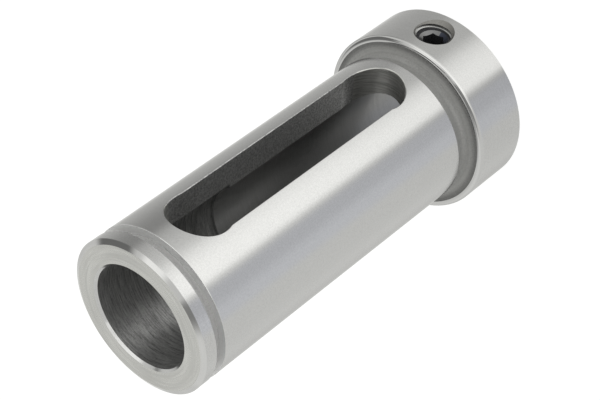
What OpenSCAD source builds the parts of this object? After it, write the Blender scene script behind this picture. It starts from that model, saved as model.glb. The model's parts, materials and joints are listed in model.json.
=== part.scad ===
// Adapter sleeve that carries a 20 mm tool shank in a 32 mm tool holder, with its clamping set screw.
// It stands on the rear face of its head. +Z runs along the bore from the head to the nose, and the
// slot and the set screw face +X.

/* [Shank] */
// Diameter of the shank that sits in the tool holder
shank_d = 32; // [29:0.5:34]
// Length of the shank, from the nose face to the front face of the head
shank_l = 75.5; // [70:0.5:120]
// Nose chamfer, measured across the face
nose_chamfer_w = 1; // [0.3:0.1:1.5]
// Nose chamfer, measured along the shank
nose_chamfer_l = 0.5; // [0.2:0.1:1.5]
// Length of the full-size ring in front of the nose groove
nose_ring_l = 3.1; // [2:0.1:6]
// Width of the nose groove
groove_w = 2.2; // [1:0.1:3]
// Depth of the nose groove
groove_depth = 1.6; // [0.5:0.1:2]

/* [Head] */
// Diameter of the head
head_d = 38.4; // [37.5:0.1:46]
// Length of the head
head_l = 13; // [12.5:0.5:20]
// Front chamfer of the head, measured across the face
head_chamfer_w = 1.2; // [0.3:0.1:1.5]
// Front chamfer of the head, measured along the head
head_chamfer_l = 0.6; // [0.2:0.1:1.5]
// Rear chamfer of the head
head_rear_chamfer = 0.4; // [0.1:0.1:0.8]
// Width of the grinding undercut between the shank and the head
undercut_w = 3; // [2:0.1:4]
// Depth of the grinding undercut
undercut_depth = 1.2; // [0.2:0.1:1.6]
// Corner radius of the undercut where it meets the head
undercut_r = 0.6; // [0.2:0.1:1]

/* [Bores] */
// Diameter of the bore that takes the tool shank
tool_d = 20; // [16:0.5:22]
// How far the relieved bore at the nose stands back from the tool bore, all round
bore_relief = 0.7; // [0.3:0.1:1.5]
// Length of the relieved bore, from the nose face
bore_relief_l = 30; // [10:1:50]
// Chamfer at the nose end of the relieved bore
nose_mouth_chamfer = 0.3; // [0.1:0.1:1]
// Chamfer at the mouth of the tool bore in the rear face of the head
tool_mouth_chamfer = 1; // [0.3:0.1:1.5]

/* [Slot] */
// Width of the slot through the shank wall
slot_w = 12; // [8:0.5:14]
// How far the plunge cut at each end of the slot bites into its sides
slot_end_bite = 0.25; // [0:0.05:0.5]
// Land between the nose groove and the slot
slot_nose_land = 4; // [2:0.5:12]
// Land between the slot and the undercut
slot_head_land = 2.5; // [1:0.5:12]

/* [Set screw] */
// Thread diameter of the set screw
screw_d = 8; // [7:0.5:9]
// Length of the set screw
screw_l = 6; // [5:0.5:6.5]
// Distance of the screw's axis from the rear face of the head
screw_z = 6.2; // [5.8:0.1:6.8]
// How far the screw's outer end lies below the head's outside
screw_recess = 1.8; // [0.5:0.1:2]
// Radial clearance between the screw and its hole
screw_fit = 0.05; // [0.02:0.01:0.1]
// Countersink at the mouth of the screw's hole
hole_countersink = 0.3; // [0.1:0.1:0.8]
// Chamfer round the outer end of the screw
screw_chamfer = 0.3; // [0.1:0.1:0.5]
// Diameter of the flat point of the screw
point_d = 5.5; // [4:0.1:6]
// Hexagon socket, across its flats
socket_flats = 4; // [3:0.5:4.5]
// Depth of the hexagon socket
socket_depth = 3.2; // [2:0.1:3.5]
// Diameter of the countersink at the mouth of the socket
socket_mouth_d = 5.7; // [5.3:0.1:6]
// How far the socket is turned about the screw's axis
socket_turn = 21; // [-30:1:30]

/* [Hidden] */
$fn = 96;

// Cuts run past the face that they open by this much
past = 1;
total_l = head_l + shank_l;
shank_r = shank_d / 2;
head_r = head_d / 2;
tool_r = tool_d / 2;
relief_r = tool_r + bore_relief;
groove_z = total_l - nose_ring_l - groove_w;
undercut_top = head_l + undercut_w;

// The slot runs from the land above the undercut to the land below the nose groove
slot_end_r = slot_w / 2 + slot_end_bite;
slot_z0 = undercut_top + slot_head_land + slot_end_r;
slot_z1 = groove_z - slot_nose_land - slot_end_r;

hole_r = screw_d / 2;
screw_r = hole_r - screw_fit;
screw_face_r = head_r - screw_recess;
point_bevel = screw_r - point_d / 2;
socket_mouth_r = socket_mouth_d / 2;

steel = [0.72, 0.72, 0.70];
blackened = [0.13, 0.13, 0.14];

// Section of the grinding undercut's corner, as points on a quarter circle
function corner_arc(r, z, radius, steps = 8) =
    [for (i = [0 : steps])
        let (a = 90 * i / steps)
        [r + radius * (1 - sin(a)), z + radius * (1 - cos(a))]];

// Outside of the sleeve, turned in one piece
module turned_blank() {
    undercut_bottom_r = shank_r - undercut_depth;
    rotate_extrude()
        polygon(concat(
            [[0, 0],
             [head_r - head_rear_chamfer, 0],
             [head_r, head_rear_chamfer],
             [head_r, head_l - head_chamfer_l],
             [head_r - head_chamfer_w, head_l]],
            corner_arc(undercut_bottom_r, head_l, undercut_r),
            [[undercut_bottom_r, undercut_top],
             [shank_r, undercut_top],
             [shank_r, groove_z],
             [shank_r - groove_depth, groove_z],
             [shank_r - groove_depth, groove_z + groove_w],
             [shank_r, groove_z + groove_w],
             [shank_r, total_l - nose_chamfer_l],
             [shank_r - nose_chamfer_w, total_l],
             [0, total_l]]));
}

// Cone that breaks the edge of a round hole. Its wide end is at z = 0 and it narrows upwards. The
// slope is measured from the face around the hole
module edge_cone(r, chamfer, slope = 45) {
    translate([0, 0, -past])
        cylinder(r1 = r + chamfer + past / tan(slope), r2 = r, h = chamfer * tan(slope) + past);
}

// Tool bore from end to end, the wider relieved bore at the nose, and their broken edges
module bores() {
    translate([0, 0, -past])
        cylinder(r = tool_r, h = total_l + 2 * past);
    translate([0, 0, total_l - bore_relief_l])
        cylinder(r = relief_r, h = bore_relief_l + past);
    edge_cone(tool_r, tool_mouth_chamfer);
    translate([0, 0, total_l])
        mirror([0, 0, 1])
            edge_cone(relief_r, nose_mouth_chamfer);
}

// Slot milled through one wall, between two plunge cuts that are a little wider than it
module slot_cut() {
    reach = shank_r + past;
    translate([0, -slot_w / 2, slot_z0])
        cube([reach, slot_w, slot_z1 - slot_z0]);
    for (z = [slot_z0, slot_z1])
        translate([0, 0, z])
            rotate([0, 90, 0])
                cylinder(r = slot_end_r, h = reach);
}

// Puts its children on the screw's axis, r from the bore's axis, with their +Z pointing inwards
module on_screw_axis(r) {
    translate([r, 0, screw_z])
        rotate([0, -90, 0])
            children();
}

module screw_hole() {
    on_screw_axis(head_r + past)
        cylinder(r = hole_r, h = head_r + past);
    on_screw_axis(head_r)
        edge_cone(hole_r, hole_countersink);
}

module sleeve() {
    color(steel)
        difference() {
            turned_blank();
            bores();
            slot_cut();
            screw_hole();
        }
}

// Hexagon socket with a drilled bottom and a countersunk mouth, opening at z = 0
module hex_socket() {
    inner_r = socket_flats / 2;
    drill_angle = 59;
    mouth_slope = 30;
    rotate([0, 0, socket_turn])
        translate([0, 0, -past])
            cylinder(r = inner_r / cos(30), h = socket_depth + past, $fn = 6);
    translate([0, 0, socket_depth])
        cylinder(r1 = inner_r, r2 = 0, h = inner_r / tan(drill_angle));
    edge_cone(inner_r, socket_mouth_r - inner_r, mouth_slope);
}

// Flat-point set screw. Its outer end is at z = 0 and its point faces upwards
module screw_body() {
    difference() {
        rotate_extrude()
            polygon([
                [0, 0],
                [screw_r - screw_chamfer, 0],
                [screw_r, screw_chamfer],
                [screw_r, screw_l - point_bevel],
                [point_d / 2, screw_l],
                [0, screw_l]]);
        hex_socket();
    }
}

module set_screw() {
    color(blackened)
        on_screw_axis(screw_face_r)
            screw_body();
}

sleeve();
set_screw();
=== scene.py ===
# Machined finish, cut threads, stage and camera for an adapter sleeve and its set screw
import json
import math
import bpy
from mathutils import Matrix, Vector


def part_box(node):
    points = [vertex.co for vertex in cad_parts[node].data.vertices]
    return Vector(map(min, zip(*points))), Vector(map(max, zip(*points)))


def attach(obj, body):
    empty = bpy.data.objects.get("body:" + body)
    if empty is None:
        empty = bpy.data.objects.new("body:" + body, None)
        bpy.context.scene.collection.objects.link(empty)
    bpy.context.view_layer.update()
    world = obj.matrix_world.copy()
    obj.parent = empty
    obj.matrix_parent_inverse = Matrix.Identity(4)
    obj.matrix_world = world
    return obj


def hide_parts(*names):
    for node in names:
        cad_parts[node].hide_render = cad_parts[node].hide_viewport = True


bl_info = {
    "name": "Adapter sleeve",
    "version": (1, 0, 0),
    "blender": (4, 5, 0),
    "location": "View3D > Sidebar > Adapter sleeve",
    "description": "Turned body with slot and tapped hole, threaded set screw, soft studio stage",
    "category": "Object",
}

import bmesh
import bpy
from mathutils import Matrix, Vector

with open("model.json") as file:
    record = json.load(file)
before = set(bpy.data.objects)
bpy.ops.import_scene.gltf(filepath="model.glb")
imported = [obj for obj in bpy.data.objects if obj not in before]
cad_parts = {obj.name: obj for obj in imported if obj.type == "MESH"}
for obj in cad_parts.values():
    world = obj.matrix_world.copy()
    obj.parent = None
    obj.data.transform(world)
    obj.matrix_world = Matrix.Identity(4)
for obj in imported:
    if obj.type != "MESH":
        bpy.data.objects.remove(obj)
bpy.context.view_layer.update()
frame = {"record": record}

# Meshes are built in millimetres and scaled to metres when they are whole
MM = 0.001
MICRON = 0.000001
MOUNTS = {mount["name"]: mount for mount in frame["record"]["mounts"]}
SHANK_R = MOUNTS["shank"]["dims"]["r_mm"]
TOOL_R = MOUNTS["tool_bore"]["dims"]["r_mm"]
SLEEVE_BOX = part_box("sleeve")
SCREW_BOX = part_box("set_screw")
HEAD_R = SLEEVE_BOX[1].x / MM
TOTAL_L = SLEEVE_BOX[1].z / MM
SCREW_Z = (SCREW_BOX[0].z + SCREW_BOX[1].z) / 2 / MM
SCREW_FACE = SCREW_BOX[1].x / MM
SCREW_TIP = SCREW_BOX[0].x / MM

# Cutting tools run past the face that they open by this much
PAST = 1.0
SECTIONS_ROUND = 240
SMOOTH_ANGLE = math.radians(20)
# Flat band on each side of the head's rounded edge
EDGE_BAND = 0.05
# Places that are no further apart than this count as the same
NEAR = 0.01
# Points of a turned body that are closer than this are merged
MERGE_WITHIN = 0.0005
# Lengths below this count as none
TINY = 1e-6
# Cosine past which a face counts as facing a direction squarely
FACING = 0.95
# The same for the flat sides of the slot's cutter, and how far they may face along the slot
SIDE_FACING = 0.999
SIDE_TILT = 0.3
# How far a face that was turned about an axis may lean round it
ROUND_LEAN = 0.02
THREAD_TURNS = 10
THREAD_STEPS = 72
# Turns of thread that each rod starts outside the head. The two differ by half a turn, so the screw's
# thread overlaps the hole's. Equal numbers would clear it
HOLE_THREAD_START = 1.5
SCREW_THREAD_START = 1.0
# How deep the foot of a thread's ridge is sunk in its core
RIDGE_SINK = 0.1
THREAD_ANGLE = math.radians(60)
# How far the plain screw, to which the thread is trimmed, stands outside the thread's top
ENVELOPE_MARGIN = 0.01
# How far above the socket's floor the drill's cutter starts
DRILL_OVERLAP = 0.1
DRILL_ANGLE = math.radians(118)
MOUTH_ANGLE = math.radians(120)
# Side of the socket's mouth with painted shade, about the screw's axis, and the cosine of its reach
SHADED_MOUTH_SIDE = math.radians(-131)
SHADED_MOUTH_REACH = 0.6
X_AXIS = Vector((1, 0, 0))
Z_AXIS = Vector((0, 0, 1))
ORIGIN = Vector((0, 0, 0))
SCREW_CENTRE = Vector((0, 0, SCREW_Z))


def length(name, description, default_mm):
    """A property for a length, given in millimetres and kept in metres."""
    return bpy.props.FloatProperty(
        name=name, description=description, default=default_mm * MM, unit="LENGTH"
    )


def colour(name, description, default):
    return bpy.props.FloatVectorProperty(
        name=name, description=description, default=default, subtype="COLOR", size=3, min=0, max=1
    )


class SleeveSizes(bpy.types.PropertyGroup):
    """Sizes of the turned body and its slot"""

    nose_chamfer_w: length("Nose chamfer width", "Nose chamfer, measured across the face", 1.0)
    nose_chamfer_l: length("Nose chamfer length", "Nose chamfer, measured along the shank", 0.5)
    nose_ring_l: length("Nose ring", "Length of the full-size ring in front of the groove", 3.1)
    groove_w: length("Groove width", "Width of the nose groove", 2.2)
    groove_depth: length("Groove depth", "Depth of the nose groove", 1.6)
    head_l: length("Head length", "Length of the head", 13.0)
    head_chamfer_w: length("Head edge width", "Rounded front edge, measured across the face", 1.2)
    head_chamfer_l: length("Head edge length", "Rounded front edge, measured along the head", 0.6)
    head_rear_chamfer: length("Rear chamfer", "Rear chamfer of the head", 0.4)
    undercut_w: length("Undercut width", "Width of the grinding undercut beside the head", 3.2)
    undercut_depth: length("Undercut depth", "Depth of the grinding undercut", 1.2)
    undercut_r: length("Undercut radius", "Corner radius of the undercut", 1.0)
    bore_relief: length("Bore relief", "How far the relieved bore stands back, all round", 0.7)
    bore_relief_l: length("Relieved bore", "Length of the relieved bore from the nose face", 30.0)
    nose_mouth_chamfer: length("Nose mouth", "Chamfer at the nose end of the bore", 0.45)
    tool_mouth_chamfer: length("Tool mouth", "Chamfer at the head end of the bore", 1.0)
    edge_break: length("Edge break", "Broken edge of the slot, twice as wide as the grooves' edges", 0.16)
    slot_w: length("Slot width", "Width of the slot", 12.0)
    slot_end_bite: length("Slot end bite", "How far the plunge cuts bite into the sides", 0.25)
    slot_nose_land: length("Slot nose land", "Land between the nose groove and the slot", 4.0)
    slot_head_land: length("Slot head land", "Land between the slot and the undercut", 2.3)


class ThreadSizes(bpy.types.PropertyGroup):
    """Sizes of the tapped hole and of the set screw"""

    hole_r: length("Hole radius", "Radius at the bottom of the hole's thread", 4.0)
    screw_r: length("Screw radius", "Radius at the top of the screw's thread", 3.95)
    pitch: length("Pitch", "Pitch of the thread", 1.25)
    hole_depth: length("Hole thread depth", "Depth of the hole's thread", 0.54)
    screw_depth: length("Screw thread depth", "Depth of the screw's thread", 0.67)
    hole_flat: length("Hole flat", "Width of the flat at the bottom of the hole's thread", 0.156)
    screw_flat: length("Screw flat", "Width of the flat at the top of the screw's thread", 0.11)
    countersink: length("Countersink", "Countersink at the mouth of the hole", 0.3)
    screw_chamfer: length("Screw chamfer", "Chamfer round the outer end of the screw", 0.3)
    point_d: length("Point diameter", "Diameter of the flat point of the screw", 5.5)
    socket_flats: length("Socket flats", "Hexagon socket, across its flats", 4.0)
    socket_depth: length("Socket depth", "Depth of the hexagon socket", 3.2)
    socket_mouth_d: length("Socket mouth", "Diameter of the countersink of the socket", 5.7)
    socket_turn: bpy.props.FloatProperty(
        name="Socket turn",
        description="How far the socket is turned about the screw's axis",
        default=math.radians(21),
        subtype="ANGLE",
    )


class SteelFinish(bpy.types.PropertyGroup):
    """Colours of the two steels"""

    bright_steel: colour("Bright steel", "Ground faces and turned edges", (0.60, 0.60, 0.60))
    faced_steel: colour("Faced steel", "Face of the nose and ends of the slot", (0.63, 0.63, 0.612))
    matt_steel: colour("Matt steel", "Undercut and the front face of the head", (0.46, 0.46, 0.455))
    # Painted light: the groove walls are far lighter than the other steel, standing in for light that
    # reaches them
    lit_groove_wall_steel: colour("Groove walls", "Walls of the nose groove", (0.88, 0.88, 0.88))
    milled_steel: colour("Milled steel", "Walls of the slot", (0.53, 0.53, 0.53))
    bored_steel: colour("Bored steel", "Walls of the relieved bore", (0.47, 0.47, 0.47))
    # Painted shade: the tool bore at the head is given a dark colour, for the shade inside it
    bore_shade_steel: colour("Dull steel", "Walls of the tool bore at the head", (0.30, 0.30, 0.30))
    black_steel: colour("Blackened steel", "Black oxide on the set screw", (0.04, 0.04, 0.045))
    worn_steel: colour("Worn steel", "Mouth of the screw's socket", (0.18, 0.18, 0.183))
    # Painted shade: a dark bluish oxide on one side of the socket's mouth
    shaded_mouth_steel: colour("Shaded mouth steel", "Painted shade on one side of the socket's mouth", (0.05, 0.055, 0.075))
    # The rim of the tapped hole is given a darker colour than the other steel
    darkened_rim_steel: colour("Darkened rim steel", "Rim of the tapped hole", (0.24, 0.235, 0.225))


class StageSettings(bpy.types.PropertyGroup):
    """Camera and floor"""

    azimuth: bpy.props.FloatProperty(
        name="Azimuth",
        description="Direction of the camera about the bore's axis, measured from +X",
        default=math.radians(-35.0),
        subtype="ANGLE",
    )
    elevation: bpy.props.FloatProperty(
        name="Elevation",
        description="Height of the camera above the horizon",
        default=math.radians(35.77),
        subtype="ANGLE",
    )
    roll: bpy.props.FloatProperty(
        name="Roll",
        description="Turn of the camera about its line of sight",
        default=math.radians(-126.35),
        subtype="ANGLE",
    )
    distance: length("Distance", "Distance from the camera to the point that it looks at", 331.0)
    aim_z: length("Aim height", "Height of the point on the axis that the camera looks at", 45.1)
    lens: bpy.props.FloatProperty(
        name="Focal length", description="Focal length of the camera in millimetres", default=104.5
    )
    floor_r: length("Floor radius", "Radius of the round floor", 3000.0)
    floor_glow: bpy.props.FloatProperty(
        name="Floor glow",
        description="White that the camera sees on the floor before any light falls on it",
        default=0.85,
        min=0,
        max=1,
    )
    floor_colour: colour("Floor colour", "Colour of the plain floor", (0.25, 0.25, 0.25))
    floor_gap: length("Floor gap", "How far the floor lies below the rear face of the head", 0.05)


def add_node(tree, kind, inputs=None, **settings):
    """Adds a node. An input is given as a value, or as the output that it is linked to."""
    node = tree.nodes.new(kind)
    for key, value in settings.items():
        setattr(node, key, value)
    for key, value in (inputs or {}).items():
        if isinstance(value, bpy.types.NodeSocket):
            tree.links.new(value, node.inputs[key])
        else:
            node.inputs[key].default_value = value
    return node


def new_group(name, kind, inputs, outputs):
    """An empty node group with named sockets, each given as a name and a socket type."""
    group = bpy.data.node_groups.new(name, kind)
    for in_out, sockets in (("INPUT", inputs), ("OUTPUT", outputs)):
        for socket_name, socket_type in sockets:
            group.interface.new_socket(socket_name, in_out=in_out, socket_type=socket_type)
    return group, group.nodes.new("NodeGroupInput"), group.nodes.new("NodeGroupOutput")


def math_node(tree, operation, a, b=0.0):
    return add_node(tree, "ShaderNodeMath", {0: a, 1: b}, operation=operation).outputs[0]


def turned_tree():
    """Spins a section, drawn as radius and height in the XY plane, about the Z axis."""
    tree, inside, outside = new_group(
        "turned_body",
        "GeometryNodeTree",
        (
            ("Section", "NodeSocketGeometry"),
            ("Segments", "NodeSocketInt"),
            ("Spindle Radius", "NodeSocketFloat"),
            ("Material", "NodeSocketMaterial"),
        ),
        (("Geometry", "NodeSocketGeometry"),),
    )
    wire = add_node(tree, "GeometryNodeMeshToCurve", {"Mesh": inside.outputs["Section"]})
    inward = math_node(tree, "MULTIPLY", inside.outputs["Spindle Radius"], -1.0)
    shift = add_node(tree, "ShaderNodeCombineXYZ", {"X": inward})
    upright = add_node(
        tree,
        "GeometryNodeTransform",
        {"Geometry": wire.outputs[0], "Translation": shift.outputs[0], "Scale": (1, -1, 1)},
    )
    spindle = add_node(
        tree,
        "GeometryNodeCurvePrimitiveCircle",
        {
            "Resolution": inside.outputs["Segments"],
            "Radius": inside.outputs["Spindle Radius"],
        },
    )
    swept = add_node(
        tree,
        "GeometryNodeCurveToMesh",
        {"Curve": spindle.outputs[0], "Profile Curve": upright.outputs[0]},
    )
    merged = add_node(
        tree,
        "GeometryNodeMergeByDistance",
        {"Geometry": swept.outputs[0], "Distance": MERGE_WITHIN},
    )
    end_tree(tree, merged.outputs[0], inside, outside)
    return tree


def thread_tree():
    """A threaded rod along Z: a round core with one helical ridge."""
    tree, inside, outside = new_group(
        "threaded_rod",
        "GeometryNodeTree",
        (
            ("Geometry", "NodeSocketGeometry"),
            ("Crest Radius", "NodeSocketFloat"),
            ("Depth", "NodeSocketFloat"),
            ("Crest Flat", "NodeSocketFloat"),
            ("Pitch", "NodeSocketFloat"),
            ("Turns", "NodeSocketFloat"),
            ("Steps", "NodeSocketInt"),
            ("Sink", "NodeSocketFloat"),
            ("Material", "NodeSocketMaterial"),
        ),
        (("Geometry", "NodeSocketGeometry"),),
    )
    given = inside.outputs
    core_r = math_node(tree, "SUBTRACT", given["Crest Radius"], given["Depth"])
    ridge_h = math_node(tree, "ADD", given["Depth"], given["Sink"])
    middle_r = math_node(
        tree, "SUBTRACT", given["Crest Radius"], math_node(tree, "MULTIPLY", ridge_h, 0.5)
    )
    rod_l = math_node(tree, "MULTIPLY", given["Pitch"], given["Turns"])
    flank_slope = 2 * math.tan(THREAD_ANGLE / 2)
    root_w = math_node(
        tree, "ADD", given["Crest Flat"], math_node(tree, "MULTIPLY", ridge_h, flank_slope)
    )
    helix = add_node(
        tree,
        "GeometryNodeCurveSpiral",
        {
            "Resolution": given["Steps"],
            "Rotations": given["Turns"],
            "Start Radius": middle_r,
            "End Radius": middle_r,
            "Height": rod_l,
            "Reverse": True,
        },
    )
    upright = add_node(
        tree, "GeometryNodeSetCurveNormal", {"Curve": helix.outputs[0]}, mode="Z_UP"
    )
    ridge = add_node(
        tree,
        "GeometryNodeCurvePrimitiveQuadrilateral",
        {"Height": ridge_h, "Bottom Width": root_w, "Top Width": given["Crest Flat"], "Offset": 0.0},
        mode="TRAPEZOID",
    )
    outward = add_node(
        tree,
        "GeometryNodeTransform",
        {"Geometry": ridge.outputs[0], "Rotation": (0, 0, -math.pi / 2)},
    )
    swept = add_node(
        tree,
        "GeometryNodeCurveToMesh",
        {"Curve": upright.outputs[0], "Profile Curve": outward.outputs[0], "Fill Caps": True},
    )
    core = add_node(
        tree,
        "GeometryNodeMeshCylinder",
        {"Vertices": given["Steps"], "Radius": core_r, "Depth": rod_l},
    )
    half_l = math_node(tree, "MULTIPLY", rod_l, 0.5)
    raised = add_node(
        tree,
        "GeometryNodeTransform",
        {
            "Geometry": core.outputs["Mesh"],
            "Translation": add_node(tree, "ShaderNodeCombineXYZ", {"Z": half_l}).outputs[0],
        },
    )
    joined = add_node(
        tree, "GeometryNodeMeshBoolean", operation="UNION", solver="MANIFOLD"
    )
    for part in (raised, swept):
        tree.links.new(part.outputs[0], joined.inputs["Mesh 2"])
    end_tree(tree, joined.outputs["Mesh"], inside, outside)
    return tree


def end_tree(tree, geometry, inside, outside):
    """Ends a geometry tree with real, painted geometry."""
    real = add_node(tree, "GeometryNodeRealizeInstances", {"Geometry": geometry})
    painted = add_node(
        tree,
        "GeometryNodeSetMaterial",
        {"Geometry": real.outputs[0], "Material": inside.outputs["Material"]},
    )
    tree.links.new(painted.outputs[0], outside.inputs["Geometry"])


def plain_mesh(obj):
    """The object's mesh with its modifiers applied. The object itself is removed."""
    evaluated = obj.evaluated_get(bpy.context.evaluated_depsgraph_get())
    mesh = bpy.data.meshes.new_from_object(evaluated)
    bpy.data.objects.remove(obj)
    return mesh


def mesh_object(name, mesh):
    obj = bpy.data.objects.new(name, mesh)
    bpy.context.scene.collection.objects.link(obj)
    return obj


def run_tree(name, mesh, tree, values):
    """A new object made by a geometry tree from a mesh. Values are given by the sockets' names."""
    obj = mesh_object(name, mesh)
    modifier = obj.modifiers.new(name, "NODES")
    modifier.node_group = tree
    for item in tree.interface.items_tree:
        if item.in_out == "INPUT" and item.name in values:
            modifier[item.identifier] = values[item.name]
    made = plain_mesh(obj)
    if not made.polygons:
        raise RuntimeError(f"the geometry tree {tree.name} made no faces for {name}")
    face_outwards(made)
    return mesh_object(name, made)


def face_outwards(mesh):
    edited = bmesh.new()
    edited.from_mesh(mesh)
    bmesh.ops.recalc_face_normals(edited, faces=edited.faces)
    if edited.calc_volume(signed=True) < 0:
        bmesh.ops.reverse_faces(edited, faces=edited.faces)
    edited.to_mesh(mesh)
    edited.free()


def turned(name, section, material, closed=True):
    """A body turned about the Z axis from a section of (radius, height) points."""
    count = len(section)
    edges = [(i, (i + 1) % count) for i in range(count if closed else count - 1)]
    wire = bpy.data.meshes.new(name + "_section")
    wire.from_pydata([(r, z, 0) for r, z in section], edges, [])
    tree = bpy.data.node_groups.get("turned_body") or turned_tree()
    values = {"Segments": SECTIONS_ROUND, "Spindle Radius": 1.0, "Material": material}
    return run_tree(name, wire, tree, values)


def threaded_rod(name, crest_r, depth, flat, pitch, turns, material):
    tree = bpy.data.node_groups.get("threaded_rod") or thread_tree()
    values = {
        "Crest Radius": crest_r / MM,
        "Depth": depth / MM,
        "Crest Flat": flat / MM,
        "Pitch": pitch / MM,
        "Turns": float(turns),
        "Steps": THREAD_STEPS,
        "Sink": RIDGE_SINK,
        "Material": material,
    }
    return run_tree(name, bpy.data.meshes.new(name + "_empty"), tree, values)


def on_screw_axis(obj, x):
    """Lays an object made along +Z on the screw's axis, with its origin at x and +Z inwards."""
    lay_down = Matrix.Rotation(-math.pi / 2, 4, "Y")
    obj.data.transform(Matrix.Translation((x, 0, SCREW_Z)) @ lay_down)
    return obj


def combine(body, tool, operation):
    """Cuts a tool out of a body, or keeps what they share. Faces keep the finish they come with."""
    name = body.name
    modifier = body.modifiers.new("cut", "BOOLEAN")
    modifier.operation = operation
    modifier.solver = "MANIFOLD"
    modifier.material_mode = "TRANSFER"
    modifier.object = tool
    mesh = plain_mesh(body)
    bpy.data.objects.remove(tool)
    if not mesh.polygons:
        raise RuntimeError(f"the cut left nothing of {name}")
    return mesh_object(name, mesh)


def corner_arc(r, z, radius, steps=16):
    """Section of the undercut's corner, as points on a quarter circle."""
    angles = [math.pi / 2 * step / steps for step in range(steps + 1)]
    return [(r + radius * (1 - math.sin(a)), z + radius * (1 - math.cos(a))) for a in angles]


def rounded_edge(r, z, across, along, steps=10):
    """Section of the head's front edge, as points on a quarter ellipse between two narrow bands that
    keep the faces beside it flat."""
    angles = [math.pi / 2 * step / steps for step in range(steps + 1)]
    arc = [(r - across * (1 - math.cos(a)), z - along * (1 - math.sin(a))) for a in angles]
    return [(r, z - along - EDGE_BAND), *arc, (r - across - EDGE_BAND, z)]


def sleeve_section(sizes):
    """Half section of the sleeve from the mouth of the tool bore round the outside and back."""
    mm = {key: getattr(sizes, key) / MM for key in SleeveSizes.__annotations__}
    edge = mm["edge_break"] / 2
    head_l = mm["head_l"]
    undercut_r = SHANK_R - mm["undercut_depth"]
    undercut_top = head_l + mm["undercut_w"]
    groove_r = SHANK_R - mm["groove_depth"]
    groove_z = TOTAL_L - mm["nose_ring_l"] - mm["groove_w"]
    ring_z = groove_z + mm["groove_w"]
    relief_r = TOOL_R + mm["bore_relief"]
    relief_z = TOTAL_L - mm["bore_relief_l"]
    outside = [
        (HEAD_R - mm["head_rear_chamfer"], 0),
        (HEAD_R, mm["head_rear_chamfer"]),
        *rounded_edge(HEAD_R, head_l, mm["head_chamfer_w"], mm["head_chamfer_l"]),
        *corner_arc(undercut_r, head_l, mm["undercut_r"]),
        (undercut_r, undercut_top),
        (SHANK_R - edge, undercut_top),
        (SHANK_R, undercut_top + edge),
        (SHANK_R, groove_z - edge),
        (SHANK_R - edge, groove_z),
        (groove_r, groove_z),
        (groove_r, ring_z),
        (SHANK_R - edge, ring_z),
        (SHANK_R, ring_z + edge),
        (SHANK_R, TOTAL_L - mm["nose_chamfer_l"]),
        (SHANK_R - mm["nose_chamfer_w"], TOTAL_L),
    ]
    inside = [
        (relief_r + mm["nose_mouth_chamfer"], TOTAL_L),
        (relief_r, TOTAL_L - mm["nose_mouth_chamfer"]),
        (relief_r, relief_z),
        (TOOL_R, relief_z),
        (TOOL_R, mm["tool_mouth_chamfer"]),
        (TOOL_R + mm["tool_mouth_chamfer"], 0),
    ]
    return outside + inside


def slot_outline(sizes, arc_steps=40):
    """The slot's edge seen from +X, as (y, z, outward y, outward z), counterclockwise."""
    half_w = sizes.slot_w / MM / 2
    end_r = half_w + sizes.slot_end_bite / MM
    groove_z = TOTAL_L - (sizes.nose_ring_l + sizes.groove_w) / MM
    undercut_top = (sizes.head_l + sizes.undercut_w) / MM
    z_low = undercut_top + sizes.slot_head_land / MM + end_r
    z_high = groove_z - sizes.slot_nose_land / MM - end_r
    overlap = math.acos(half_w / end_r)
    outline = []
    for centre, start in ((z_high, -overlap), (z_low, math.pi - overlap)):
        for step in range(arc_steps + 1):
            a = start + (math.pi + 2 * overlap) * step / arc_steps
            out_y, out_z = math.cos(a), math.sin(a)
            outline.append((end_r * out_y, centre + end_r * out_z, out_y, out_z))
    return outline


def slot_tool(sizes, side_material, end_material):
    """Closed cutter for the slot. It flares where it leaves the shank, which breaks the slot's edge."""
    edge = sizes.edge_break / MM
    rings = []
    outline = slot_outline(sizes)
    for y, z, out_y, out_z in outline:
        wall_x = math.sqrt(SHANK_R**2 - y**2)
        edge_y = y + edge * out_y
        edge_x = math.sqrt(SHANK_R**2 - edge_y**2)
        far = edge + PAST
        rings.append(
            (
                (0, y, z),
                (wall_x - edge, y, z),
                (edge_x, edge_y, z + edge * out_z),
                (edge_x + PAST, y + far * out_y, z + far * out_z),
                (SHANK_R + 3 * PAST, y + far * out_y, z + far * out_z),
            )
        )
    count = len(rings)
    levels = len(rings[0])
    points = [point for ring in rings for point in ring]
    faces = [
        tuple(
            (i + di) % count * levels + level + dl for di, dl in ((0, 0), (1, 0), (1, 1), (0, 1))
        )
        for i in range(count)
        for level in range(levels - 1)
    ]
    faces.append(tuple(i * levels for i in range(count)))
    faces.append(tuple(i * levels + levels - 1 for i in range(count)))
    mesh = bpy.data.meshes.new("slot_tool")
    mesh.from_pydata(points, [], faces)
    mesh.materials.append(side_material)
    mesh.materials.append(end_material)
    face_outwards(mesh)
    half_w = sizes.slot_w / MM / 2
    for face in mesh.polygons:
        is_side = abs(face.normal.y) > SIDE_FACING or abs(face.center.y) > half_w - NEAR
        face.material_index = 0 if is_side and abs(face.normal.z) < SIDE_TILT else 1
    return mesh_object("slot_tool", mesh)


def round_normals(mesh, axes):
    """Gives every face that was turned about one of the axes the normals of a true round."""
    mesh.shade_smooth()
    mesh.set_sharp_from_angle(angle=SMOOTH_ANGLE)
    mesh.update()
    normals = [corner.vector.copy() for corner in mesh.corner_normals]
    for face in mesh.polygons:
        for point, axis in axes:
            across = axis.cross(face.center - point)
            if across.length < TINY or abs(face.normal.dot(across.normalized())) > ROUND_LEAN:
                continue
            for loop in face.loop_indices:
                tangent = axis.cross(mesh.vertices[mesh.loops[loop].vertex_index].co - point)
                if tangent.length > TINY:
                    tangent.normalize()
                    normals[loop] -= tangent * normals[loop].dot(tangent)
                    normals[loop].normalize()
            break
    mesh.normals_split_custom_set(normals)


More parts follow.
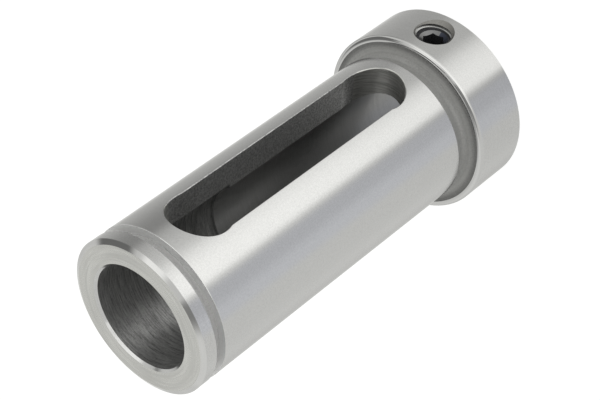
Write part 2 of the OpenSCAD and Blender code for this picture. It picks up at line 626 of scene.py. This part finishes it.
def finished_piece(obj, body, replaced, axes):
    """Scales a piece to metres, smooths it and puts it on its body."""
    round_normals(obj.data, axes)
    obj.data.transform(Matrix.Scale(MM, 4))
    obj.data.update()
    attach(obj, body)
    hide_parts(replaced)
    return obj


class SLEEVE_OT_body(bpy.types.Operator):
    """Turn, slot and tap the sleeve"""

    bl_idname = "sleeve.body"
    bl_label = "Turned sleeve"

    def execute(self, context):
        sizes = context.scene.sleeve_sizes
        threads = context.scene.sleeve_threads
        steels = steel_materials(context.scene.sleeve_finish)
        body = turned("turned_sleeve", sleeve_section(sizes), steels["ground"])
        paint_turned_faces(body.data, steels, sizes)
        body = combine(body, slot_tool(sizes, steels["milled"], steels["plunged"]), "DIFFERENCE")
        tap = threaded_rod(
            "tap",
            threads.hole_r,
            threads.hole_depth,
            threads.hole_flat,
            threads.pitch,
            THREAD_TURNS,
            steels["tapped"],
        )
        tap_start = HEAD_R + HOLE_THREAD_START * threads.pitch / MM
        body = combine(body, on_screw_axis(tap, tap_start), "DIFFERENCE")
        mouth_r = (threads.hole_r + threads.countersink) / MM
        cone = turned(
            "countersink",
            [(0, -PAST), (mouth_r + PAST, -PAST), (mouth_r, 0), (0, mouth_r)],
            steels["sunk"],
            closed=False,
        )
        body = combine(body, on_screw_axis(cone, HEAD_R), "DIFFERENCE")
        ends = sorted({round(z, 3) for _, z, _, _ in slot_outline(sizes)})
        end_r = (sizes.slot_w / 2 + sizes.slot_end_bite) / MM
        axes = [
            (ORIGIN, Z_AXIS),
            (SCREW_CENTRE, X_AXIS),
            (Vector((0, 0, ends[0] + end_r)), X_AXIS),
            (Vector((0, 0, ends[-1] - end_r)), X_AXIS),
        ]
        finished_piece(body, "sleeve", "sleeve", axes)
        return {"FINISHED"}


class SLEEVE_OT_screw(bpy.types.Operator):
    """Thread the set screw and cut its socket"""

    bl_idname = "sleeve.screw"
    bl_label = "Set screw"

    def execute(self, context):
        threads = context.scene.sleeve_threads
        finish = context.scene.sleeve_finish
        black = plain_steel("black_oxide", finish.black_steel, 0.6, 0.4)
        worn = plain_steel("worn_oxide", finish.worn_steel, 1.0, 0.25)
        shaded_mouth = plain_steel("shaded_mouth_oxide", finish.shaded_mouth_steel, 1.0, 0.3)
        screw = threaded_rod(
            "threaded_screw",
            threads.screw_r,
            threads.screw_depth,
            threads.screw_flat,
            threads.pitch,
            THREAD_TURNS,
            black,
        )
        on_screw_axis(screw, HEAD_R + SCREW_THREAD_START * threads.pitch / MM)
        screw = combine(screw, screw_envelope(threads, black), "INTERSECT")
        for tool in socket_tools(threads, black, worn, shaded_mouth):
            screw = combine(screw, tool, "DIFFERENCE")
        finished_piece(screw, "screw", "set_screw", [(SCREW_CENTRE, X_AXIS)])
        return {"FINISHED"}


def screw_envelope(threads, material):
    """The plain screw that the threaded rod is trimmed to."""
    screw_l = SCREW_FACE - SCREW_TIP
    r = threads.screw_r / MM + ENVELOPE_MARGIN
    chamfer = threads.screw_chamfer / MM
    point_r = threads.point_d / MM / 2
    bevel = r - point_r
    outer_end = [(0, 0), (r - chamfer, 0), (r, chamfer)]
    section = [*outer_end, (r, screw_l - bevel), (point_r, screw_l), (0, screw_l)]
    return on_screw_axis(turned("envelope", section, material, closed=False), SCREW_FACE)


def socket_tools(threads, material, worn, shaded_mouth):
    """Cutters for the hexagon socket, its drilled bottom and its countersunk mouth, which has painted
    shade on one side."""
    flat_r = threads.socket_flats / MM / 2
    depth = threads.socket_depth / MM
    mouth_r = threads.socket_mouth_d / MM / 2
    corner_r = flat_r / math.cos(math.pi / 6)
    turns = [threads.socket_turn + math.pi / 3 * i for i in range(6)]
    points = [
        (corner_r * math.cos(a), corner_r * math.sin(a), z) for z in (-PAST, depth) for a in turns
    ]
    faces = [(i, (i + 1) % 6, (i + 1) % 6 + 6, i + 6) for i in range(6)]
    mesh = bpy.data.meshes.new("hexagon")
    mesh.from_pydata(points, [], faces + [tuple(range(6)), tuple(range(6, 12))])
    mesh.materials.append(material)
    face_outwards(mesh)
    hexagon = mesh_object("hexagon", mesh)
    drill_l = flat_r / math.tan(DRILL_ANGLE / 2)
    drill_start = depth - DRILL_OVERLAP
    drill = [(0, drill_start), (flat_r, drill_start), (flat_r, depth), (0, depth + drill_l)]
    slope = 1 / math.tan(MOUTH_ANGLE / 2)
    mouth = [(0, -PAST), (mouth_r + PAST / slope, -PAST), (mouth_r, 0), (0, mouth_r * slope)]
    drill_tool = turned("drill", drill, material, closed=False)
    mouth_tool = turned("mouth", mouth, worn, closed=False)
    mouth_tool.data.materials.append(shaded_mouth)
    # Painted shade: faces on one side of the mouth get the dark oxide
    shaded_mouth_side = Vector((math.cos(SHADED_MOUTH_SIDE), math.sin(SHADED_MOUTH_SIDE), 0))
    for face in mouth_tool.data.polygons:
        radial = Vector((face.center.x, face.center.y, 0)).normalized()
        face.material_index = 1 if radial.dot(shaded_mouth_side) > SHADED_MOUTH_REACH else 0
    return [on_screw_axis(tool, SCREW_FACE) for tool in (hexagon, drill_tool, mouth_tool)]


TURNED_FINISHES = (
    "ground",
    "turned",
    "bored",
    "relieved",
    "grooved",
    "undercut",
    "skimmed",
    "faced",
    "walled",
)


def turned_finish(face, sizes):
    """Finish of a face of the turned blank. Its grooves were never ground."""
    radial = Vector((face.center.x, face.center.y, 0))
    r, z = radial.length, face.center.z
    outwards = face.normal.dot(radial.normalized())
    groove_z = TOTAL_L - (sizes.nose_ring_l + sizes.groove_w) / MM
    groove_w = sizes.groove_w / MM
    head_l = sizes.head_l / MM
    undercut_w = sizes.undercut_w / MM
    if r < TOOL_R + (sizes.bore_relief + sizes.nose_mouth_chamfer) / MM:
        if outwards > -FACING:
            return "skimmed"
        return "bored" if z < TOTAL_L - sizes.bore_relief_l / MM else "relieved"
    groove_limit = SHANK_R - sizes.edge_break / MM / 2
    if r < groove_limit and -NEAR < z - groove_z < groove_w + NEAR:
        return "grooved" if outwards > FACING else "walled"
    head_limit = HEAD_R - sizes.head_chamfer_w / MM - EDGE_BAND / 2
    if r < head_limit and -NEAR < z - head_l < undercut_w + NEAR:
        return "undercut"
    if outwards > FACING:
        return "ground" if head_l < z < groove_z else "skimmed"
    return "faced" if z > TOTAL_L - NEAR else "turned"


def paint_turned_faces(mesh, steels, sizes):
    """Puts the finishes on the faces of the turned blank."""
    mesh.materials.clear()
    for key in TURNED_FINISHES:
        mesh.materials.append(steels[key])
    for face in mesh.polygons:
        face.material_index = TURNED_FINISHES.index(turned_finish(face, sizes))


# Nearly all of the noise that makes the marks lies between these
NOISE_LOW = 0.35
NOISE_HIGH = 0.65
# How much the marks raise and lower the roughness, as a share of it
ROUGHNESS_SPREAD = 0.1


def rings_group():
    """Height of the marks that a tool leaves as it turns about the Z axis, on any turned face."""
    found = bpy.data.node_groups.get("tool_rings")
    if found:
        return found
    tree, inside, outside = new_group(
        "tool_rings",
        "ShaderNodeTree",
        (
            ("Rings per Metre", "NodeSocketFloat"),
            ("Wander", "NodeSocketFloat"),
            ("Grain", "NodeSocketFloat"),
        ),
        (("Height", "NodeSocketFloat"),),
    )
    place = add_node(tree, "ShaderNodeTexCoord").outputs["Object"]
    parts = add_node(tree, "ShaderNodeSeparateXYZ", {0: place})
    flat = add_node(
        tree, "ShaderNodeCombineXYZ", {"X": parts.outputs["X"], "Y": parts.outputs["Y"]}
    ).outputs[0]
    radius = add_node(tree, "ShaderNodeVectorMath", {0: flat}, operation="LENGTH").outputs["Value"]
    along = math_node(tree, "ADD", radius, parts.outputs["Z"])
    across = math_node(tree, "MULTIPLY", along, inside.outputs["Rings per Metre"])
    heading = add_node(tree, "ShaderNodeVectorMath", {0: flat}, operation="NORMALIZE").outputs[0]
    wander = add_node(
        tree,
        "ShaderNodeVectorMath",
        {0: heading, "Scale": inside.outputs["Wander"]},
        operation="SCALE",
    ).outputs[0]
    turn = add_node(tree, "ShaderNodeSeparateXYZ", {0: wander})
    point = add_node(
        tree,
        "ShaderNodeCombineXYZ",
        {"X": turn.outputs["X"], "Y": turn.outputs["Y"], "Z": across},
    ).outputs[0]
    rings = add_node(
        tree,
        "ShaderNodeTexNoise",
        {"Vector": point, "Scale": 1.0, "Detail": 3.0, "Roughness": 0.6},
    )
    grain = add_node(
        tree,
        "ShaderNodeTexNoise",
        {"Vector": place, "Scale": 3200.0, "Detail": 2.0, "Roughness": 0.6},
    )
    mixed = add_node(
        tree,
        "ShaderNodeMix",
        {0: inside.outputs["Grain"], 2: rings.outputs["Fac"], 3: grain.outputs["Fac"]},
        data_type="FLOAT",
    )
    tree.links.new(mixed.outputs[0], outside.inputs["Height"])
    return tree


def streaks_group():
    """Height of a milled face: grain that is stretched where the scale along an axis is small."""
    found = bpy.data.node_groups.get("milled_grain")
    if found:
        return found
    tree, inside, outside = new_group(
        "milled_grain",
        "ShaderNodeTree",
        (("Grain per Metre", "NodeSocketVector"),),
        (("Height", "NodeSocketFloat"),),
    )
    place = add_node(tree, "ShaderNodeTexCoord").outputs["Object"]
    point = add_node(
        tree,
        "ShaderNodeVectorMath",
        {0: place, 1: inside.outputs["Grain per Metre"]},
        operation="MULTIPLY",
    ).outputs[0]
    grain = add_node(
        tree,
        "ShaderNodeTexNoise",
        {"Vector": point, "Scale": 1.0, "Detail": 3.0, "Roughness": 0.6},
    )
    tree.links.new(grain.outputs["Fac"], outside.inputs["Height"])
    return tree


def place_group():
    """Painted light and shade of the steel in two soft steps, which lighten or darken its colour. Axes of
    (1, 1, 0) measure them from the bore's axis, and (0, 0, 1) from the rear face."""
    found = bpy.data.node_groups.get("painted_shade_by_place")
    if found:
        return found
    numbers = ("Start 1", "End 1", "Shade 1", "Start 2", "End 2", "Shade 2")
    tree, inside, outside = new_group(
        "painted_shade_by_place",
        "ShaderNodeTree",
        [("Axes", "NodeSocketVector"), *((name, "NodeSocketFloat") for name in numbers)],
        (("Shade", "NodeSocketFloat"),),
    )
    given = inside.outputs
    place = add_node(tree, "ShaderNodeTexCoord").outputs["Object"]
    kept = add_node(tree, "ShaderNodeVectorMath", {0: place, 1: given["Axes"]}, operation="MULTIPLY")
    distance = add_node(tree, "ShaderNodeVectorMath", {0: kept.outputs[0]}, operation="LENGTH")
    steps = [
        add_node(
            tree,
            "ShaderNodeMapRange",
            {
                "Value": distance.outputs["Value"],
                "From Min": given[f"Start {step}"],
                "From Max": given[f"End {step}"],
                "To Min": 1.0,
                "To Max": given[f"Shade {step}"],
            },
            interpolation_type="SMOOTHSTEP",
        ).outputs[0]
        for step in (1, 2)
    ]
    tree.links.new(math_node(tree, "MULTIPLY", *steps), outside.inputs["Shade"])
    return tree


def steel(name, base_colour, roughness, anisotropy, marks, microns, tone, places=None):
    """Bright steel. Marks is the group that gives their height, with its inputs, microns is how high
    they are, tone is how much they darken the steel, and places holds the inputs of its painted
    light and shade by place, if it has one."""
    found = bpy.data.materials.get(name)
    if found:
        return found
    material = bpy.data.materials.new(name)
    material.use_nodes = True
    tree = material.node_tree
    shader = tree.nodes["Principled BSDF"]
    shader.inputs["Metallic"].default_value = 1.0
    shader.inputs["Anisotropic"].default_value = anisotropy
    shader.inputs["Anisotropic Rotation"].default_value = 0.25
    tangent = add_node(tree, "ShaderNodeTangent", direction_type="RADIAL", axis="Z")
    tree.links.new(tangent.outputs[0], shader.inputs["Tangent"])
    group, values = marks
    relief = add_node(tree, "ShaderNodeGroup", values, node_tree=group).outputs["Height"]
    bump_inputs = {"Height": relief, "Distance": microns * MICRON, "Strength": 1.0}
    bump = add_node(tree, "ShaderNodeBump", bump_inputs)
    tree.links.new(bump.outputs[0], shader.inputs["Normal"])

    def by_relief(low, high):
        edges = {"From Min": NOISE_LOW, "From Max": NOISE_HIGH, "To Min": low, "To Max": high}
        return add_node(tree, "ShaderNodeMapRange", {"Value": relief, **edges}).outputs[0]

    shade = by_relief(1 - tone, 1.0)
    # Painted light and shade by place, multiplied into the colour
    if places:
        by_place = add_node(tree, "ShaderNodeGroup", places, node_tree=place_group())
        shade = math_node(tree, "MULTIPLY", shade, by_place.outputs["Shade"])
    tint = add_node(
        tree,
        "ShaderNodeMix",
        {6: (*base_colour, 1.0), 7: shade, "Factor": 1.0},
        data_type="RGBA",
        blend_type="MULTIPLY",
    )
    tree.links.new(tint.outputs[2], shader.inputs["Base Color"])
    rough, fine = roughness * (1 + ROUGHNESS_SPREAD), roughness * (1 - ROUGHNESS_SPREAD)
    tree.links.new(by_relief(rough, fine), shader.inputs["Roughness"])
    return material


def steel_materials(finish):
    """Finishes of the sleeve, by the names that its faces are painted with."""
    bright = finish.bright_steel
    matt = finish.matt_steel
    faced = finish.faced_steel
    bored = finish.bored_steel

    def by_place(axes, *steps):
        """Inputs of a painted light and shade by place. A step has its start and end in millimetres and
        its shade.
        """
        values = {"Axes": axes}
        for number, (start, end, shade) in enumerate(steps, 1):
            values[f"Start {number}"] = start * MM
            values[f"End {number}"] = end * MM
            values[f"Shade {number}"] = shade
        return values

    # Painted light and shade on the undercut: its face is lighter just outside the corner and darker
    # towards the head's rim
    undercut_painted_light_and_shade = by_place((1, 1, 0), (15.1, 15.9, 1.22), (16.2, 17.8, 0.54))
    # Painted shade in the tool bore: darkest by the rear face, lighter towards the nose
    bore_painted_shade = by_place((0, 0, 1), (12, 24, 1.2), (20, 34, 1.35))

    def rings(per_metre, wander, grain):
        values = {"Rings per Metre": per_metre, "Wander": wander, "Grain": grain}
        return rings_group(), values

    def grain(x, y, z):
        return streaks_group(), {"Grain per Metre": (x, y, z)}

    return {
        "ground": steel("ground_shank", bright, 0.16, 0.3, rings(4000, 3.0, 0.8), 1.5, 0.08),
        "skimmed": steel("skimmed_rims", bright, 0.15, 0.6, rings(3000, 2.0, 0.7), 1.5, 0.09),
        "turned": steel("turned_edges", bright, 0.08, 0.3, rings(3000, 1.0, 0.2), 0.5, 0.06),
        "faced": steel("faced_nose", faced, 0.28, 0.8, rings(1700, 1.5, 0.25), 4, 0.16),
        "grooved": steel("nose_groove", bright, 0.9, 0.0, rings(2500, 1.0, 0.5), 2, 0.06),
        "walled": steel(
            "groove_walls", finish.lit_groove_wall_steel, 0.5, 0.0, rings(2500, 1.0, 0.5), 2, 0.06
        ),
        "undercut": steel("undercut", matt, 0.8, 0.0, rings(2500, 1.0, 0.5), 3, 0.10, undercut_painted_light_and_shade),
        "bored": steel(
            "bored_walls", finish.bore_shade_steel, 0.34, 0.1, rings(2200, 1.5, 0.5), 5, 0.12, bore_painted_shade
        ),
        "relieved": steel("relieved_bore", bored, 0.5, 0.1, rings(3600, 3.5, 0.25), 30, 0.6),
        "tapped": steel("tapped_thread", matt, 0.3, 0.0, rings(3000, 2.0, 0.5), 2, 0.10),
        "milled": steel(
            "milled_walls", finish.milled_steel, 0.5, 0.0, grain(2700, 2700, 2700), 50, 0.5
        ),
        "plunged": steel("plunged_ends", faced, 0.45, 0.0, grain(3200, 150, 150), 20, 0.4),
        "sunk": steel(
            "countersunk_rim", finish.darkened_rim_steel, 0.5, 0.0, rings(3000, 2.0, 0.5), 2, 0.10
        ),
    }


def plain_steel(name, base_colour, metallic, roughness):
    """Steel of the set screw, without marks."""
    material = bpy.data.materials.new(name)
    material.use_nodes = True
    shader = material.node_tree.nodes["Principled BSDF"]
    shader.inputs["Base Color"].default_value = (*base_colour, 1.0)
    shader.inputs["Metallic"].default_value = metallic
    shader.inputs["Roughness"].default_value = roughness
    return material


def camera_axes(settings):
    """Right, up and back of the camera in the row frame."""
    a, e = settings.azimuth, settings.elevation
    back = Vector((math.cos(a) * math.cos(e), math.sin(a) * math.cos(e), math.sin(e)))
    level = Z_AXIS.cross(back).normalized()
    rise = back.cross(level)
    right = level * math.cos(settings.roll) + rise * math.sin(settings.roll)
    return right, back.cross(right), back


def add_camera(settings):
    right, up, back = camera_axes(settings)
    data = bpy.data.cameras.new("camera")
    data.lens = settings.lens
    data.clip_start, data.clip_end = 0.01, 20.0
    camera = bpy.data.objects.new("camera", data)
    axes = Matrix((right, up, back)).transposed().to_4x4()
    place = Vector((0, 0, settings.aim_z)) + back * settings.distance
    camera.matrix_world = Matrix.Translation(place) @ axes
    bpy.context.scene.collection.objects.link(camera)
    bpy.context.scene.camera = camera


def add_floor(settings):
    """A round floor just below the sleeve. It is clear when it is seen from below."""
    edited = bmesh.new()
    bmesh.ops.create_circle(edited, cap_ends=True, radius=settings.floor_r, segments=96)
    bmesh.ops.translate(edited, verts=edited.verts, vec=(0, 0, -settings.floor_gap))
    mesh = bpy.data.meshes.new("floor")
    edited.to_mesh(mesh)
    edited.free()
    floor = mesh_object("floor", mesh)
    material = bpy.data.materials.new("pale_floor")
    material.use_nodes = True
    tree = material.node_tree
    tree.nodes.clear()
    matt = add_node(tree, "ShaderNodeBsdfDiffuse", {"Color": (*settings.floor_colour, 1.0)})
    path = add_node(tree, "ShaderNodeLightPath")
    seen = math_node(tree, "MULTIPLY", path.outputs["Is Camera Ray"], settings.floor_glow)
    glow = add_node(tree, "ShaderNodeEmission", {"Strength": seen})
    both = add_node(tree, "ShaderNodeAddShader", {0: matt.outputs[0], 1: glow.outputs[0]})
    clear = add_node(tree, "ShaderNodeBsdfTransparent")
    side = add_node(tree, "ShaderNodeNewGeometry")
    seen_from = add_node(
        tree,
        "ShaderNodeMixShader",
        {0: side.outputs["Backfacing"], 1: both.outputs[0], 2: clear.outputs[0]},
    )
    out = add_node(tree, "ShaderNodeOutputMaterial")
    tree.links.new(seen_from.outputs[0], out.inputs["Surface"])
    mesh.materials.append(material)
    floor.visible_glossy = False
    floor.visible_diffuse = False
    floor.visible_shadow = False


# Soft boxes and dark gaps of the light tent, in degrees as the sleeve sees them: where each starts and
# ends in azimuth and in height, how soft its start, its end and its upper and lower edges are, and
# the light that it adds
TENT = (
    ("key", -53, -12, -80, 48, 11, 45, 16, 0.35),
    ("key spill", -49, 26, -80, 48, 10, 49, 16, 0.30),
    ("key low", -60, 20, -80, -39, 11, 30, 7, -0.21),
    ("key top", -75, 50, 42, 66, 12, 16, 9, 0.50),
    ("beside key", -82, -58, -80, 0, 20, 11, 20, -0.12),
    ("near low", -215, -60, -80, -40, 20, 11, 7, -0.06),
    ("far gap", 45, 84, -39, -8, 21, 54, 12, -0.21),
    ("far shade", -1, 124, -80, 7, 26, 23, 16, -0.26),
    ("left far", 158, 183, -80, 0, 12, 40, 20, -0.20),
    ("overhead box", 70, 110, 63, 79, 20, 12, 7, 0.50),
    ("overhead spill", 20, 72, 60, 79, 16, 20, 7, 0.20),
    ("overhead gap", 75, 125, 27, 55, 10, 16, 8, -0.62),
    ("zenith gap", 189, 330, 65, 89, 14, 20, 15, -0.52),
    ("left top box", 169, 201, 20, 63, 14, 12, 10, 0.11),
    ("underside", -200, 200, -100, -66, 8, 8, 10, -0.58),
)
TENT_BASE = 0.83
# Where the tent's light is cool, in degrees and with soft edges as above, and both of its colours
COOL = (-104, -58, -80, -5, 12, 10, 20)
COOL_LIGHT = (0.948, 0.964, 1.0)
WARM_LIGHT = (1.0, 1.0, 0.97)


def window(tree, place, start, end, soft_start, soft_end):
    """1 between two edges and 0 beyond them, with a soft step over each."""
    steps = []
    for edge, soft, sign in ((start, soft_start, 1), (end, soft_end, -1)):
        half = math_node(tree, "MULTIPLY", soft, 0.5 * sign)
        steps.append(
            add_node(
                tree,
                "ShaderNodeMapRange",
                {
                    "Value": place,
                    "From Min": math_node(tree, "SUBTRACT", edge, half),
                    "From Max": math_node(tree, "ADD", edge, half),
                },
                interpolation_type="SMOOTHSTEP",
            ).outputs[0]
        )
    return math_node(tree, "MULTIPLY", *steps)


def soft_box_group():
    """Light that one soft box adds to the tent, in a window of azimuth and height."""
    angles = ("Azimuth", "Height", "Middle", "Half Width", "Low", "High", "Soft Start", "Soft End")
    names = (*angles, "Soft Level", "Light", "Before")
    tree, inside, outside = new_group(
        "soft_box",
        "ShaderNodeTree",
        [(name, "NodeSocketFloat") for name in names],
        (("Light", "NodeSocketFloat"),),
    )
    given = inside.outputs
    turned_by = math_node(tree, "SUBTRACT", given["Azimuth"], given["Middle"])
    around = add_node(
        tree, "ShaderNodeMath", {0: turned_by, 1: math.pi, 2: -math.pi}, operation="WRAP"
    ).outputs[0]
    far = math_node(tree, "MULTIPLY", given["Half Width"], -1.0)
    wide = window(tree, around, far, given["Half Width"], given["Soft Start"], given["Soft End"])
    level = given["Soft Level"]
    tall = window(tree, given["Height"], given["Low"], given["High"], level, level)
    lit = math_node(tree, "MULTIPLY", math_node(tree, "MULTIPLY", wide, tall), given["Light"])
    tree.links.new(math_node(tree, "ADD", lit, given["Before"]), outside.inputs["Light"])
    return tree


def add_world():
    """A light tent: a plain pale sky with soft boxes and dark gaps. The camera sees plain white."""
    world = bpy.data.worlds.new("light_tent")
    bpy.context.scene.world = world
    world.use_nodes = True
    tree = world.node_tree
    tree.nodes.clear()
    direction = add_node(tree, "ShaderNodeTexCoord").outputs["Generated"]
    parts = add_node(tree, "ShaderNodeSeparateXYZ", {0: direction}).outputs
    azimuth = math_node(tree, "ARCTAN2", parts["Y"], parts["X"])
    height = math_node(tree, "ARCSINE", parts["Z"])
    group = soft_box_group()

    def add_box(edges, strength, before):
        start, end, low, high, soft_start, soft_end, soft_level = (math.radians(a) for a in edges)
        values = {
            "Azimuth": azimuth,
            "Height": height,
            "Middle": (start + end) / 2,
            "Half Width": (end - start) / 2,
            "Low": low,
            "High": high,
            "Soft Start": soft_start,
            "Soft End": soft_end,
            "Soft Level": soft_level,
            "Light": strength,
            "Before": before,
        }
        return add_node(tree, "ShaderNodeGroup", values, node_tree=group).outputs["Light"]

    light = TENT_BASE
    for _, *edges, strength in TENT:
        light = add_box(edges, strength, light)
    hue = add_node(
        tree,
        "ShaderNodeMix",
        {"Factor": add_box(COOL, 1.0, 0.0), 6: (*WARM_LIGHT, 1.0), 7: (*COOL_LIGHT, 1.0)},
        data_type="RGBA",
    )
    tent = add_node(tree, "ShaderNodeBackground", {"Strength": light, "Color": hue.outputs[2]})
    white = add_node(tree, "ShaderNodeBackground", {"Strength": 1.0, "Color": (1, 1, 1, 1)})
    path = add_node(tree, "ShaderNodeLightPath")
    chosen = add_node(
        tree,
        "ShaderNodeMixShader",
        {0: path.outputs["Is Camera Ray"], 1: tent.outputs[0], 2: white.outputs[0]},
    )
    out = add_node(tree, "ShaderNodeOutputWorld")
    tree.links.new(chosen.outputs[0], out.inputs["Surface"])


class SLEEVE_OT_stage(bpy.types.Operator):
    """Set up the floor, the light tent and the camera"""

    bl_idname = "sleeve.stage"
    bl_label = "Stage"

    def execute(self, context):
        settings = context.scene.sleeve_stage
        context.scene.view_settings.view_transform = "Standard"
        add_camera(settings)
        add_floor(settings)
        add_world()
        return {"FINISHED"}


class SLEEVE_PT_panel(bpy.types.Panel):
    bl_idname = "SLEEVE_PT_panel"
    bl_label = "Adapter sleeve"
    bl_space_type = "VIEW_3D"
    bl_region_type = "UI"
    bl_category = "Adapter sleeve"

    def draw(self, context):
        for operator in OPERATORS:
            self.layout.operator(operator.bl_idname)


GROUPS = {
    "sleeve_sizes": SleeveSizes,
    "sleeve_threads": ThreadSizes,
    "sleeve_finish": SteelFinish,
    "sleeve_stage": StageSettings,
}
OPERATORS = (SLEEVE_OT_body, SLEEVE_OT_screw, SLEEVE_OT_stage)


def register():
    for cls in (*GROUPS.values(), *OPERATORS, SLEEVE_PT_panel):
        bpy.utils.register_class(cls)
    for name, group in GROUPS.items():
        setattr(bpy.types.Scene, name, bpy.props.PointerProperty(type=group))


def unregister():
    for name in GROUPS:
        delattr(bpy.types.Scene, name)
    for cls in reversed((*GROUPS.values(), *OPERATORS, SLEEVE_PT_panel)):
        bpy.utils.unregister_class(cls)


def main():
    register()
    bpy.ops.sleeve.body()
    bpy.ops.sleeve.screw()
    bpy.ops.sleeve.stage()


if __name__ == "__main__":
    main()
